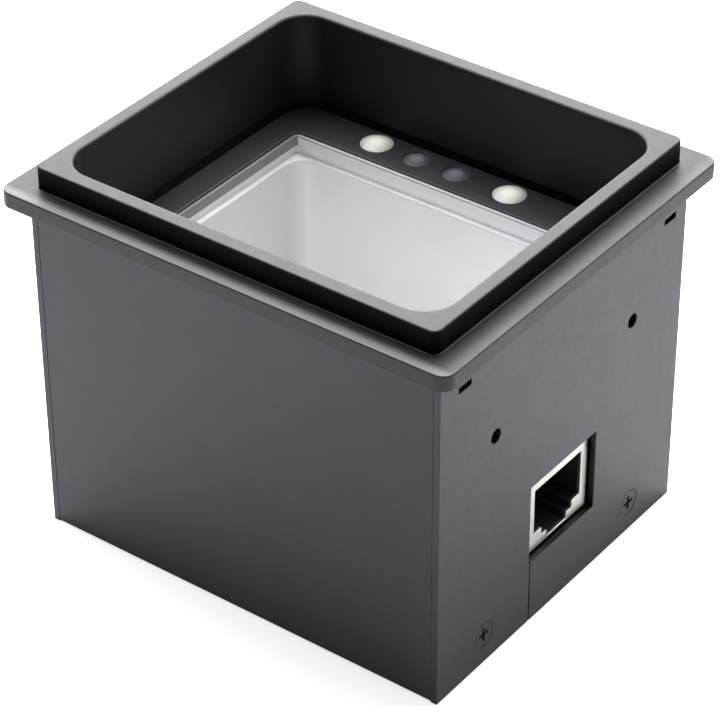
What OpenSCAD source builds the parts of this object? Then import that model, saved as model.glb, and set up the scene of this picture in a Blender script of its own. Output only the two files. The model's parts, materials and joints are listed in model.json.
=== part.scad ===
// Fixed-mount window barcode scanner: a sheet-metal box with a flanged bezel on top,
// a recessed scan window, a camera looking up from the floor and a network socket in
// its right side.
// Origin: centre of the housing's underside. +X to the socket side, +Y to the back,
// where the row of small lenses is, +Z up to the scan window. Units are millimetres.

/* [Housing] */
// Width between the outer faces of the two side plates
body_w = 78; // [77:0.5:82]
// Depth from the front wall to the back wall
body_d = 66.5; // [66:0.5:70]
// Height of the sheet-metal box, up to the flange's underside
body_h = 62.2; // [61:0.2:66]
// Thickness of the steel sheet
sheet_t = 1.2; // [1:0.1:1.2]

/* [Flange and collar] */
// Thickness of the mounting flange
flange_t = 2.8; // [2:0.1:4]
// How far the flange stands out past the housing
flange_overhang = 3.45; // [2:0.05:8]
// Corner radius of the flange
flange_corner_r = 2.2; // [1:0.1:3]
// Height of the collar above the flange
collar_h = 4; // [3:0.5:8]
// Width of the collar, which fits a panel cut-out
collar_w = 75.9; // [75:0.1:76.5]
// Depth of the collar
collar_d = 66; // [65:0.1:66.4]
// Corner radius of the collar
collar_corner_r = 1.4; // [0.8:0.1:2.5]

/* [Scan well] */
// Width of the well inside the collar
well_w = 70.6; // [70:0.1:71]
// Depth of the well inside the collar
well_d = 60.3; // [60:0.1:60.6]
// Corner radius of the well
well_corner_r = 5.5; // [4:0.1:6]
// Height of the deck's top face above the housing's underside
deck_z = 51.9; // [51:0.1:53]
// Thickness of the black deck
deck_t = 1.5; // [1.2:0.1:1.8]
// Gap between the deck and the well's walls
deck_gap = 0.8; // [0.4:0.1:0.9]

/* [Scan window] */
// Width of the window opening in the deck
window_w = 58.6; // [56:0.2:61]
// Depth of the window opening in the deck
window_d = 46.1; // [44:0.1:47]
// Distance from the well's centre to the window's centre, towards the front
window_shift = 1.9; // [1.8:0.1:2.2]
// Thickness of the window glass
glass_t = 1.5; // [1:0.1:1.8]

/* [Lens row] */
// Distance of the lens row behind the well's centre
row_y = 26; // [25.9:0.1:26.1]
// Place of the left light lens along the row
light_left_x = -16.2; // [-18:0.1:-16]
// Place of the right light lens along the row
light_right_x = 10.4; // [9:0.1:11]
// Place of the left sensor lens along the row
sensor_left_x = -8; // [-9.5:0.1:-7.8]
// Place of the right sensor lens along the row
sensor_right_x = -0.2; // [-2:0.1:0]
// Diameter of a light lens
light_lens_d = 5.6; // [5:0.1:5.8]
// Diameter of a sensor lens
sensor_lens_d = 4.5; // [4:0.1:5]

/* [Network socket] */
// Place of the socket's centre along the side plate
socket_y = 0.7; // [-1:0.1:2]
// Width of the socket's metal shell
socket_w = 16.4; // [16:0.1:16.6]
// Height of the socket's metal shell
socket_h = 13.4; // [13.2:0.1:13.6]
// Depth of the socket's metal shell
socket_depth = 16; // [15:0.5:16]
// Width of the cut-out in the side plate
cutout_w = 18.2; // [18:0.1:19]
// Height of the cut-out in the side plate
cutout_h = 15; // [14.6:0.1:15.4]

/* [Side mounting holes] */
// Distance between the two threaded holes of a side plate
side_hole_spacing = 37.5; // [34:0.5:40]
// Height of the threaded holes above the underside
side_hole_z = 42.9; // [40:0.1:43]
// Diameter of the threaded holes, at the core of an M3 thread
side_thread_d = 2.5; // [2.4:0.05:2.6]

/* [Camera] */
// Bore of the lens holder, which takes an M12 barrel
lens_bore_d = 12; // [11.9:0.1:12]
// Radial running clearance of the barrel in its holder
lens_clearance = 0.05; // [0.03:0.01:0.1]

/* [Hidden] */
$fn = 64;

// Gap left between parts that sit against each other
gap = 0.05;
// A cut runs past a face by this much
over = 1;

// Flange, collar and well
flange_w = body_w + 2 * flange_overhang;
flange_d = body_d + 2 * flange_overhang;
flange_top = body_h + flange_t;
collar_top = flange_top + collar_h;

// Inside of the box, between the sheets
inner_w = body_w - 2 * sheet_t;
inner_d = body_d - 2 * sheet_t;

// The bezel's skirt hangs inside the box, and its foot carries the light box
skirt_w = inner_w - 4 * gap;
skirt_d = inner_d - 4 * gap;
skirt_corner_r = 1;
skirt_z = deck_z - 6.1;
ledge_w = 2.8;
ledge_front = 2;
seal_t = 0.3;
deck_bottom = deck_z - deck_t;
ledge_z = deck_bottom - seal_t;

// Snap hooks on the skirt and their slots in the side plates
hook_front_y = -27.1;
hook_back_y = 28.5;
hook_z = body_h - 5.3;
hook_slot_l = 3.2;
hook_slot_h = 1.1;
hook_reach = 0.8;

// Side plate screws and the tabs they go into
side_screw_y = 20.7;
side_screw_z = 5.5;
tab_w = 9;
tab_h = 9.2;

// M2.5 and M2 screws. A countersunk head sits a little below the sheet's face
m25_r = 1;
m25_tap_r = 1.05;
m25_clear_r = 1.35;
m25_head_r = 2.3;
m25_head_h = 1.05;
head_sink = 0.1;
head_gap = 0.1;
m25_length = 5;
pan_head_h = 1.6;
m2_r = 0.8;
m2_tap_r = 0.85;
m2_clear_r = 1.1;
m2_head_r = 1.8;
m2_head_h = 1.2;

// Main board
board_t = 1.6;
board_z = 10.7;
board_top = board_z + board_t;
board_w = 73;
board_d = 61;
board_hole_x = 32.5;
board_hole_y = 26.5;
board_corner_r = 1.5;
standoff_r = 2.9;
lens_opening_r = 9;

// Glass and light box. The box's rim comes up through the deck and holds the glass
window_corner_r = 1;
rim_gap = 0.1;
rim_t = 0.6;
rim_drop = 0.2;
rim_w = window_w - 2 * rim_gap;
rim_d = window_d - 2 * rim_gap;
glass_sink = 1.8;
glass_w = rim_w - 2 * rim_t - 2 * gap;
glass_d = rim_d - 2 * rim_t - 2 * gap;
glass_bottom = deck_z - glass_sink - glass_t;
glass_corner_r = 0.6;
tape_t = 0.3;
seat_z = glass_bottom - tape_t;
seat_w = 0.9;
chamber_w = glass_w - 2 * seat_w;
chamber_d = glass_d - 2 * seat_w;
chamber_r = 4;
box_wall = 1.2;
box_floor = 16.3;
lip_t = 1.5;
lip_reach = 1.4;
step_z = 27.5;
step_x = 19;
ear_x = 34.9;
ear_y = 10;
ear_r = 2.2;
ear_t = 1.5;
ear_screw_l = 4.6;
ear_hole_deep = 3.6;
lens_window_r = 8;

// Row of lenses behind the window
row_board_t = 1.2;
row_board_z = deck_z - 6.9;
row_board_w = 42;
row_board_d = 6;
row_board_x = -3.5;
row_screw_x = 19;
row_boss_r = 1.9;
row_hole_deep = 3.4;
row_screw_l = 4;
row_led_w = 3.5;
row_led_h = 1;
row_sensor_w = 3;
row_sensor_d = 2.6;
row_sensor_h = 1.2;
light_lens_foot = deck_z - 4.5;
light_dome_h = 0.6;
sensor_lens_foot = deck_z - 4.1;
sensor_edge_z = deck_z - 0.2;
sensor_dome_h = 0.4;

// Camera stack
camera_board_z = 4.4;
camera_board_t = 1.2;
camera_board_top = camera_board_z + camera_board_t;
camera_board_w = 30;
camera_board_d = 22;
camera_board_x = -2;
camera_hole_x = 12.5;
camera_hole_y = 8.7;
camera_spacer_r = 2;
camera_screw_l = 3.6;
sensor_w = 9;
sensor_d = 7.5;
sensor_t = 0.7;
holder_base = 16;
holder_base_h = 3;
holder_top = 15.4;
holder_tube_r = 7.6;
holder_corner_r = 1;
holder_room_w = 11;
holder_room_h = 2.4;
set_screw_z = 12;
barrel_r = lens_bore_d / 2 - lens_clearance;
barrel_foot = 9;
head_foot = 16.4;
head_top = 21.4;
head_r = 7;
front_seat_r = 5;
front_seat_z = 19;
rear_seat_r = 4.2;
rear_seat_top = 11;
stop_r = 2.6;
element_gap = 0.04;
front_edge_h = 1;
front_dome_h = 1.3;
rear_edge_h = 0.8;
rear_dome_h = 0.7;

// Ribbon cable and its two flip-latch sockets
ribbon_w = 10;
ribbon_t = 0.3;
socket_box_l = 4.2;
socket_box_w = 12;
socket_box_h = 1.8;
ribbon_h = 0.9;
ribbon_in = 1;
camera_socket_x = -16.4;
main_socket_x = -24.4;
bend_x = -27;
latch_t = 0.6;
latch_x = 2.2;
latch_h = 1.5;
latch_pin_r = 0.25;
latch_pin_l = 0.45;
latch_cheek = 0.7;
latch_l = 2.1;

// Ring light on the chamber's floor
ring_board_w = 32;
ring_board_t = 1;
ring_corner_r = 2;
ring_board_z = box_floor + box_wall;
ring_led_r = 12.4;
ring_screw = 13.4;
ring_screw_l = 2.1;
ring_led_w = 2.8;
ring_led_h = 0.8;
header_x = -12.6;
header_w = 2;
header_l = 6;
header_h = 2.5;
header_pitch = 1.4;
pin_w = 0.6;

// Network socket
port_x = body_w / 2 - 1.1;
port_z = board_top;
cutout_y = 0.5;
cutout_z = 11.8;
slit_y = cutout_y - cutout_w / 2 + 0.3;
slit_w = 0.25;
shell_t = 0.3;
cavity_w = 12.8;
cavity_foot = 3.2;
cavity_top = 11.5;
cavity_deep = 12.5;
shoulder_w = 8.4;
shoulder_foot = 1.8;
clip_w = 5.4;
clip_foot = 0.6;
contact_pitch = 1.02;
contact_w = 0.44;
contact_slot_w = 0.6;
contact_slot_l = 9;
contact_slot_end = 10.6;

// Harness between the lens row and the main board
harness_x = 5;
harness_y = 27;
harness_pitch = 1.25;
harness_seat = 1.7;
harness_socket_h = 4;
harness_socket_d = 3.8;
harness_plug_h = 4.3;
harness_plug_d = 2.4;
wire_r = 0.4;

// Colours
sheet_colour = [0.17, 0.17, 0.18];
bezel_colour = [0.14, 0.14, 0.15];
deck_colour = [0.08, 0.08, 0.09];
pale_colour = [0.82, 0.82, 0.82];
steel_colour = [0.62, 0.62, 0.64];
board_colour = [0.05, 0.25, 0.14];
chip_colour = [0.07, 0.07, 0.07];
brass_colour = [0.78, 0.62, 0.3];

// A rectangle with round corners, centred
module rounded_rect(w, d, r) {
    square([w - 2 * r, d], center = true);
    square([w, d - 2 * r], center = true);
    for (x = [-1, 1], y = [-1, 1])
        translate([x * (w / 2 - r), y * (d / 2 - r)]) circle(r);
}

// A flat plate with round corners, centred on the Z axis
module rounded_plate(w, d, h, r) {
    linear_extrude(h) rounded_rect(w, d, r);
}

// Draws its children at the four corners of a rectangle
module at_corners(x, y) {
    for (i = [-1, 1], j = [-1, 1])
        translate([i * x, j * y]) children();
}

// A box centred in X and Y, standing on z = 0
module block(w, d, h) {
    translate([-w / 2, -d / 2]) cube([w, d, h]);
}

// The cross recess of a screw, cut from z = 0 downwards
module cross_recess(r, depth) {
    for (turn = [0, 90])
        rotate([0, 0, turn]) translate([0, 0, -depth])
            block(2 * r, r * 0.45, depth + over);
}

// A countersunk M2.5 screw, set below a face at z = 0, its shank downwards
module flat_screw(length) {
    translate([0, 0, -head_sink])
        difference() {
            union() {
                translate([0, 0, -m25_head_h]) cylinder(m25_head_h, m25_r, m25_head_r);
                translate([0, 0, -length]) cylinder(length, r = m25_r);
            }
            cross_recess(m25_head_r * 0.55, m25_head_h * 0.7);
        }
}

// The hole that a countersunk screw needs in a sheet whose outer face is at z = 0
module countersunk_hole() {
    slope = (m25_head_r - m25_r) / m25_head_h;
    foot = -head_sink - m25_head_h;
    translate([0, 0, foot])
        cylinder(gap - foot, m25_r + head_gap, m25_r + head_gap + slope * (gap - foot));
    translate([0, 0, -sheet_t - over]) cylinder(sheet_t + over, r = m25_clear_r);
}

// A pan-head screw, the underside of its head at z = 0 and its shank below
module pan_screw(head_r, head_h, r, length) {
    difference() {
        union() {
            cylinder(head_h, r = head_r);
            translate([0, 0, -length]) cylinder(length + head_h / 2, r = r);
        }
        translate([0, 0, head_h]) cross_recess(head_r * 0.6, head_h * 0.6);
    }
}

// A lens with a straight foot and a domed top whose edge is at z = edge_z
module domed_lens(r, foot_z, edge_z, dome_h) {
    dome_r = (r * r + dome_h * dome_h) / (2 * dome_h);
    intersection() {
        translate([0, 0, foot_z]) cylinder(edge_z + dome_h - foot_z, r = r);
        union() {
            translate([0, 0, foot_z - over]) cylinder(edge_z - foot_z + over, r = 2 * r);
            translate([0, 0, edge_z + dome_h - dome_r]) sphere(dome_r);
        }
    }
}

// Housing -------------------------------------------------------------------

module bezel_hooks() {
    hook_l = hook_slot_l - 0.4;
    hook_h = hook_slot_h - 0.3;
    for (side = [-1, 1], y = [hook_front_y, hook_back_y])
        translate([side * (skirt_w / 2 + hook_reach / 2 - over / 2), y, hook_z - hook_h / 2])
            block(hook_reach + over, hook_l, hook_h);
}

module top_bezel() {
    opening_r = 3;
    color(bezel_colour)
        difference() {
            union() {
                translate([0, 0, body_h])
                    rounded_plate(flange_w, flange_d, flange_t, flange_corner_r);
                translate([0, 0, body_h])
                    rounded_plate(collar_w, collar_d, collar_top - body_h, collar_corner_r);
                translate([0, 0, skirt_z])
                    rounded_plate(skirt_w, skirt_d, flange_top - skirt_z, skirt_corner_r);
                bezel_hooks();
            }
            translate([0, 0, ledge_z])
                rounded_plate(well_w, well_d, collar_top, well_corner_r);
            translate([0, ledge_front / 2, skirt_z - over])
                rounded_plate(well_w - 2 * ledge_w, well_d - ledge_front, collar_top, opening_r);
            at_corners(ear_x, ear_y)
                translate([0, 0, skirt_z - over]) cylinder(over + ear_hole_deep, r = m2_tap_r);
        }
}

// The U-shaped section of the folded sheet, drawn as width and height
module channel_section(w, h, r) {
    translate([-w / 2, r]) square([w, h - r]);
    translate([r - w / 2, 0]) square([w - 2 * r, h]);
    for (x = [-1, 1])
        translate([x * (w / 2 - r), r]) circle(r);
}

// The sheet is grooved before it is folded, so both folds are sharp
module wrap_shell() {
    fold_r = 0.5;
    fold_inner_r = 0.2;
    length = inner_w - 2 * gap;
    color(sheet_colour)
        difference() {
            union() {
                rotate([90, 0, 90]) linear_extrude(length, center = true)
                    difference() {
                        channel_section(body_d, body_h - gap, fold_r);
                        translate([0, sheet_t])
                            channel_section(inner_d, body_h, fold_inner_r);
                    }
                for (side = [-1, 1], y = [-side_screw_y, side_screw_y])
                    translate([side * (length - sheet_t) / 2, y, sheet_t / 2])
                        block(sheet_t, tab_w, tab_h - sheet_t / 2);
            }
            for (y = [-side_screw_y, side_screw_y])
                translate([0, y, side_screw_z]) rotate([0, 90, 0])
                    cylinder(body_w, r = m25_tap_r, center = true);
            at_corners(board_hole_x, board_hole_y) mirror([0, 0, 1]) countersunk_hole();
        }
}

// A side plate lying flat: x is the row's Y, y is its Z, and its outer face is up
module side_plate_flat(with_socket) {
    burr_r = 1.9;
    difference() {
        union() {
            linear_extrude(sheet_t)
                translate([0, (body_h - gap) / 2])
                    square([body_d, body_h - gap], center = true);
            for (x = [-1, 1])
                translate([x * side_hole_spacing / 2, side_hole_z, -sheet_t])
                    cylinder(2 * sheet_t - gap, r = burr_r);
        }
        for (x = [-1, 1]) {
            translate([x * side_hole_spacing / 2, side_hole_z, -2 * sheet_t])
                cylinder(4 * sheet_t, r = side_thread_d / 2);
            translate([x * side_screw_y, side_screw_z, sheet_t]) countersunk_hole();
        }
        for (x = [hook_front_y, hook_back_y])
            translate([x, hook_z - hook_slot_h / 2, -over])
                block_flat(hook_slot_l, hook_slot_h, sheet_t + 2 * over);
        if (with_socket) {
            translate([cutout_y, cutout_z, -over])
                block_flat(cutout_w, cutout_h, sheet_t + 2 * over);
            translate([slit_y, -over, -over])
                block_flat(slit_w, cutout_z + 2 * over, sheet_t + 2 * over);
        }
    }
}

// A box centred in X only, standing on y = 0 and z = 0
module block_flat(w, h, t) {
    translate([-w / 2, 0]) cube([w, h, t]);
}

// Stands a flat drawing up on the right side, with z = 0 at the given X
module on_right_side(x) {
    translate([x, 0, 0]) rotate([90, 0, 90]) children();
}

module right_plate() {
    color(sheet_colour)
        on_right_side(body_w / 2 - sheet_t) side_plate_flat(true);
}

module left_plate() {
    color(sheet_colour)
        mirror([1, 0, 0]) on_right_side(body_w / 2 - sheet_t) side_plate_flat(false);
}

module side_screws() {
    color(chip_colour)
        for (side = [0, 1], y = [-side_screw_y, side_screw_y])
            mirror([side, 0, 0]) translate([body_w / 2, y, side_screw_z])
                rotate([0, 90, 0]) flat_screw(m25_length);
}

module base_screws() {
    color(chip_colour)
        at_corners(board_hole_x, board_hole_y)
            mirror([0, 0, 1]) flat_screw(m25_length);
}

module board_standoffs() {
    color(brass_colour)
        at_corners(board_hole_x, board_hole_y)
            translate([0, 0, sheet_t])
                difference() {
                    cylinder(board_z - sheet_t, r = standoff_r, $fn = 6);
                    translate([0, 0, -over]) cylinder(board_z + 2 * over, r = m25_tap_r);
                }
}

module board_screws() {
    color(steel_colour)
        at_corners(board_hole_x, board_hole_y)
            translate([0, 0, board_top]) pan_screw(m25_head_r, pan_head_h, m25_r, 4.5);
}

// Scan window ---------------------------------------------------------------

module window_deck() {
    color(deck_colour)
        difference() {
            union() {
                translate([0, 0, deck_bottom])
                    rounded_plate(well_w - 2 * deck_gap, well_d - 2 * deck_gap, deck_t,
                        well_corner_r - deck_gap);
                for (x = [-1, 1])
                    translate([row_board_x + x * row_screw_x, row_y, row_board_z + row_board_t])
                        cylinder(deck_bottom + deck_t / 2 - row_board_z - row_board_t, r = row_boss_r);
            }
            translate([0, -window_shift, deck_bottom - over])
                rounded_plate(window_w, window_d, deck_t + 2 * over, window_corner_r);
            for (x = [light_left_x, light_right_x])
                translate([x, row_y, deck_bottom - over])
                    cylinder(deck_t + 2 * over, r = light_lens_d / 2 + gap);
            for (x = [sensor_left_x, sensor_right_x])
                translate([x, row_y, deck_bottom - over])
                    cylinder(deck_t + 2 * over, r = sensor_lens_d / 2 + gap);
            for (x = [-1, 1])
                translate([row_board_x + x * row_screw_x, row_y, row_board_z])
                    cylinder(row_board_t + row_hole_deep, r = m2_tap_r);
        }
}

module deck_seal() {
    side_w = 2.2;
    front_w = ledge_front - 0.2;
    color(chip_colour)
        translate([0, 0, ledge_z])
            linear_extrude(seal_t)
                difference() {
                    rounded_rect(well_w - 8 * gap, well_d - 8 * gap, well_corner_r - 0.2);
                    translate([side_w - well_w / 2, front_w - well_d / 2])
                        square([well_w - 2 * side_w, well_d]);
                }
}

module glass_tape() {
    color(pale_colour)
        translate([0, -window_shift, seat_z])
            linear_extrude(tape_t)
                difference() {
                    rounded_rect(glass_w, glass_d, glass_corner_r);
                    rounded_rect(chamber_w, chamber_d, chamber_r);
                }
}

module window_glass() {
    color([0.8, 0.88, 0.9, 0.35])
        translate([0, -window_shift, glass_bottom])
            rounded_plate(glass_w, glass_d, glass_t, glass_corner_r);
}

module light_lenses() {
    color([0.92, 0.92, 0.88])
        for (x = [light_left_x, light_right_x])
            translate([x, row_y, 0])
                domed_lens(light_lens_d / 2, light_lens_foot, deck_z, light_dome_h);
}

module sensor_lenses() {
    color([0.12, 0.12, 0.2])
        for (x = [sensor_left_x, sensor_right_x])
            translate([x, row_y, 0])
                domed_lens(sensor_lens_d / 2, sensor_lens_foot, sensor_edge_z, sensor_dome_h);
}

module lens_row_board() {
    color(board_colour)
        difference() {
            translate([row_board_x, row_y, row_board_z])
                block(row_board_w, row_board_d, row_board_t);
            for (x = [-1, 1])
                translate([row_board_x + x * row_screw_x, row_y, row_board_z - over])
                    cylinder(row_board_t + 2 * over, r = m2_clear_r);
        }
}

module lens_row_leds() {
    color([0.95, 0.9, 0.6])
        for (x = [light_left_x, light_right_x])
            translate([x, row_y, row_board_z + row_board_t]) block(row_led_w, row_led_w, row_led_h);
}

module lens_row_sensors() {
    color(chip_colour)
        for (x = [sensor_left_x, sensor_right_x])
            translate([x, row_y, row_board_z + row_board_t])
                block(row_sensor_w, row_sensor_d, row_sensor_h);
}

module lens_row_screws() {
    color(steel_colour)
        for (x = [-1, 1])
            translate([row_board_x + x * row_screw_x, row_y, row_board_z]) mirror([0, 0, 1])
                pan_screw(m2_head_r, m2_head_h, m2_r, row_screw_l);
}

module harness_plug() {
    plug_w = 4 * harness_pitch + 1.6;
    wire_end = 1;
    color([0.9, 0.88, 0.8])
        translate([harness_x, harness_y, board_top + harness_seat])
            difference() {
                block(plug_w, harness_plug_d, harness_plug_h);
                for (i = [-1.5:1.5])
                    translate([i * harness_pitch, 0, wire_end])
                        cylinder(harness_plug_h, r = wire_r + gap);
            }
}

module harness_socket() {
    socket_l = 4 * harness_pitch + 3;
    wall = 0.6;
    color([0.93, 0.91, 0.84])
        translate([harness_x, harness_y, board_top])
            difference() {
                block(socket_l, harness_socket_d, harness_socket_h);
                translate([0, 0, harness_seat - gap])
                    block(socket_l - 2 * wall, harness_socket_d - 2 * wall, harness_socket_h);
            }
}

module harness_wires() {
    wire_foot = board_top + harness_seat + 1 + gap;
    for (i = [-1.5:1.5])
        color(i < -1 ? "red" : "black")
            translate([harness_x + i * harness_pitch, harness_y, wire_foot])
                cylinder(row_board_z - wire_foot - gap, r = wire_r);
}

// Light box -----------------------------------------------------------------

// A horizontal slice of the chamber, grown outwards by the given wall
module chamber_slice(wall) {
    translate([0, -window_shift])
        rounded_rect(chamber_w + 2 * wall, chamber_d + 2 * wall, chamber_r + wall);
}

// The lower part of the chamber stops short of the network socket
module lower_slice(wall) {
    lower_w = chamber_w / 2 + step_x;
    translate([step_x - lower_w / 2, -window_shift])
        rounded_rect(lower_w + 2 * wall, chamber_d + 2 * wall, chamber_r + wall);
}

module light_box() {
    ear_arm = ear_x - chamber_w / 2 - box_wall / 2;
    lip_top = deck_bottom - gap;
    rim_foot = seat_z - box_wall;
    color(pale_colour)
        difference() {
            union() {
                translate([0, 0, step_z])
                    linear_extrude(seat_z - step_z) chamber_slice(box_wall);
                translate([0, 0, box_floor])
                    linear_extrude(step_z - box_floor + box_wall) lower_slice(box_wall);
                translate([0, -window_shift, rim_foot])
                    rounded_plate(rim_w, rim_d, deck_z - rim_drop - rim_foot, window_corner_r - rim_gap);
                translate([0, -window_shift, lip_top - lip_t])
                    rounded_plate(window_w + 2 * lip_reach, window_d + 2 * lip_reach, lip_t,
                        window_corner_r + lip_reach);
                at_corners(ear_x, ear_y)
                    translate([0, 0, skirt_z - ear_t]) cylinder(ear_t, r = ear_r);
                for (side = [-1, 1], y = [-ear_y, ear_y])
                    translate([side * (ear_x - ear_arm / 2), y, skirt_z - ear_t])
                        block(ear_arm, 2 * ear_r, ear_t);
            }
            translate([0, -window_shift, seat_z])
                rounded_plate(glass_w + 2 * gap, glass_d + 2 * gap, deck_z, glass_corner_r);
            translate([0, 0, step_z + box_wall])
                linear_extrude(deck_z) chamber_slice(0);
            translate([0, 0, box_floor + box_wall])
                linear_extrude(deck_z) lower_slice(0);
            translate([0, 0, box_floor - over])
                cylinder(box_wall + 2 * over, r = lens_window_r);
            translate([header_x, 0, box_floor - over])
                block(header_w + 0.4, header_l + 0.4, box_wall + 2 * over);
            for (i = [-1, 1])
                translate([i * ring_screw, i * ring_screw, box_floor - over])
                    cylinder(box_wall + 2 * over, r = m2_tap_r);
            at_corners(ear_x, ear_y)
                translate([0, 0, skirt_z - ear_t - over])
                    cylinder(ear_t + 2 * over, r = m2_clear_r);
        }
}

module light_box_screws() {
    color(steel_colour)
        at_corners(ear_x, ear_y)
            translate([0, 0, skirt_z - ear_t]) mirror([0, 0, 1])
                pan_screw(m2_head_r, m2_head_h, m2_r, ear_screw_l);
}

module ring_light_board() {
    color([0.9, 0.9, 0.88])
        translate([0, 0, ring_board_z])
            difference() {
                rounded_plate(ring_board_w, ring_board_w, ring_board_t, ring_corner_r);
                translate([0, 0, -over])
                    cylinder(ring_board_t + 2 * over, r = lens_window_r + 0.2);
                for (i = [-1, 1])
                    translate([i * ring_screw, i * ring_screw, -over])
                        cylinder(ring_board_t + 2 * over, r = m2_clear_r);
            }
}

module ring_light_leds() {
    color([0.96, 0.9, 0.55])
        for (turn = [22.5:45:359])
            rotate([0, 0, turn])
                translate([ring_led_r, 0, ring_board_z + ring_board_t])
                    rotate([0, 0, -turn]) block(ring_led_w, ring_led_w, ring_led_h);
}

module ring_light_screws() {
    color(steel_colour)
        for (i = [-1, 1])
            translate([i * ring_screw, i * ring_screw, ring_board_z + ring_board_t])
                pan_screw(m2_head_r, m2_head_h, m2_r, ring_screw_l);
}

module ring_light_header() {
    color(chip_colour)
        translate([header_x, 0, board_top])
            difference() {
                block(header_w, header_l, header_h);
                for (i = [-1.5:1.5])
                    translate([0, i * header_pitch, -over])
                        block(pin_w + 2 * gap, pin_w + 2 * gap, header_h + 2 * over);
            }
}

module ring_light_pins() {
    color(brass_colour)
        for (i = [-1.5:1.5])
            translate([header_x, i * header_pitch, board_top])
                block(pin_w, pin_w, ring_board_z - board_top - gap);
}

// Camera --------------------------------------------------------------------

module camera_board() {
    color(board_colour)
        translate([camera_board_x, 0, camera_board_z])
            difference() {
                block(camera_board_w, camera_board_d, camera_board_t);
                at_corners(camera_hole_x, camera_hole_y)
                    translate([0, 0, -over])
                        cylinder(camera_board_t + 2 * over, r = m2_clear_r);
            }
}

module camera_spacers() {
    foot_t = 0.6;
    color(brass_colour)
        translate([camera_board_x, 0, sheet_t])
            at_corners(camera_hole_x, camera_hole_y)
                difference() {
                    cylinder(camera_board_z - sheet_t, r = camera_spacer_r);
                    translate([0, 0, foot_t]) cylinder(camera_board_z, r = m2_tap_r);
                }
}

module camera_screws() {
    color(steel_colour)
        translate([camera_board_x, 0, camera_board_top])
            at_corners(camera_hole_x, camera_hole_y)
                pan_screw(m2_head_r, m2_head_h, m2_r, camera_screw_l);
}

module image_sensor() {
    color([0.2, 0.2, 0.28])
        translate([0, 0, camera_board_top]) block(sensor_w, sensor_d, sensor_t);
}

module sensor_cover_glass() {
    rim = 0.6;
    cover_t = 0.4;
    color([0.7, 0.8, 0.9, 0.4])
        translate([0, 0, camera_board_top + sensor_t])
            block(sensor_w - rim, sensor_d - rim, cover_t);
}

module lens_holder() {
    color(chip_colour)
        difference() {
            union() {
                translate([0, 0, camera_board_top])
                    rounded_plate(holder_base, holder_base, holder_base_h, holder_corner_r);
                translate([0, 0, camera_board_top])
                    cylinder(holder_top - camera_board_top, r = holder_tube_r);
            }
            translate([0, 0, camera_board_top - over])
                block(holder_room_w, holder_room_w, over + holder_room_h);
            translate([0, 0, camera_board_top])
                cylinder(holder_top, r = lens_bore_d / 2);
            translate([0, 0, set_screw_z])
                rotate([0, 90, 0]) cylinder(holder_base, r = m2_tap_r);
        }
}

module lens_set_screw() {
    length = 1.8;
    key_r = 0.4;
    key_deep = 0.8;
    color(steel_colour)
        translate([lens_bore_d / 2 + 0.02, 0, set_screw_z]) rotate([0, 90, 0])
            difference() {
                cylinder(length, r = m2_r);
                translate([0, 0, length - key_deep])
                    cylinder(over + key_deep, r = key_r, $fn = 6);
            }
}

module lens_barrel() {
    grips = 24;
    grip_w = 0.6;
    grip_deep = 0.35;
    grip_rim = 1;
    color(chip_colour)
        difference() {
            union() {
                translate([0, 0, barrel_foot]) cylinder(head_top - barrel_foot, r = barrel_r);
                translate([0, 0, head_foot]) cylinder(head_top - head_foot, r = head_r);
            }
            translate([0, 0, barrel_foot - over]) cylinder(head_top, r = stop_r);
            translate([0, 0, barrel_foot - over])
                cylinder(rear_seat_top - barrel_foot + over, r = rear_seat_r);
            translate([0, 0, front_seat_z]) cylinder(head_top, r = front_seat_r);
            for (i = [0:grips - 1])
                rotate([0, 0, i * 360 / grips])
                    translate([head_r, 0, head_foot + grip_rim])
                        block(2 * grip_deep, grip_w, head_top - head_foot - 2 * grip_rim);
        }
}

module lens_front_element() {
    color([0.35, 0.3, 0.5, 0.5])
        domed_lens(front_seat_r - element_gap, front_seat_z + element_gap,
            front_seat_z + front_edge_h, front_dome_h);
}

module lens_rear_element() {
    color([0.35, 0.3, 0.5, 0.5])
        translate([0, 0, rear_seat_top - element_gap]) mirror([0, 0, 1])
            domed_lens(rear_seat_r - element_gap, 0, rear_edge_h, rear_dome_h);
}

// Ribbon cable --------------------------------------------------------------

// A ribbon socket on a board's top face at z = 0, its mouth towards -X at x = 0
module ribbon_socket() {
    inner = socket_box_w - 2 * latch_cheek;
    bed_h = latch_h - latch_t / 2 - gap;
    difference() {
        translate([0, -socket_box_w / 2, 0])
            cube([socket_box_l, socket_box_w, socket_box_h]);
        translate([-over, -inner / 2, bed_h])
            cube([over + latch_x + latch_t / 2 + 0.1, inner, over + socket_box_h]);
        translate([-over, -ribbon_w / 2 - 0.1, ribbon_h - ribbon_t / 2 - gap])
            cube([over + ribbon_in + 0.4, ribbon_w + 0.2, ribbon_t + 2 * gap]);
        translate([latch_x, 0, latch_h]) rotate([90, 0, 0])
            cylinder(inner + 2 * (latch_pin_l + gap), r = latch_pin_r + gap, center = true);
    }
}

// The latch of a ribbon socket, lying shut on it
module ribbon_latch() {
    bar_w = socket_box_w - 2 * latch_cheek - 2 * gap;
    translate([latch_x, 0, latch_h]) {
        rotate([90, 0, 0]) cylinder(bar_w, r = latch_t / 2, center = true);
        rotate([90, 0, 0])
            cylinder(bar_w + 2 * latch_pin_l, r = latch_pin_r, center = true);
        translate([-latch_l, -bar_w / 2, -latch_t / 2]) cube([latch_l, bar_w, latch_t]);
    }
}

// Places a drawing on the camera board's top face
module on_camera_board() {
    translate([camera_socket_x, 0, camera_board_top]) children();
}

// Places a drawing on the main board's underside, upside down
module under_main_board() {
    translate([main_socket_x, 0, board_z]) mirror([0, 0, 1]) children();
}

module camera_ribbon_socket() {
    color([0.85, 0.82, 0.72]) on_camera_board() ribbon_socket();
}

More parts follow.
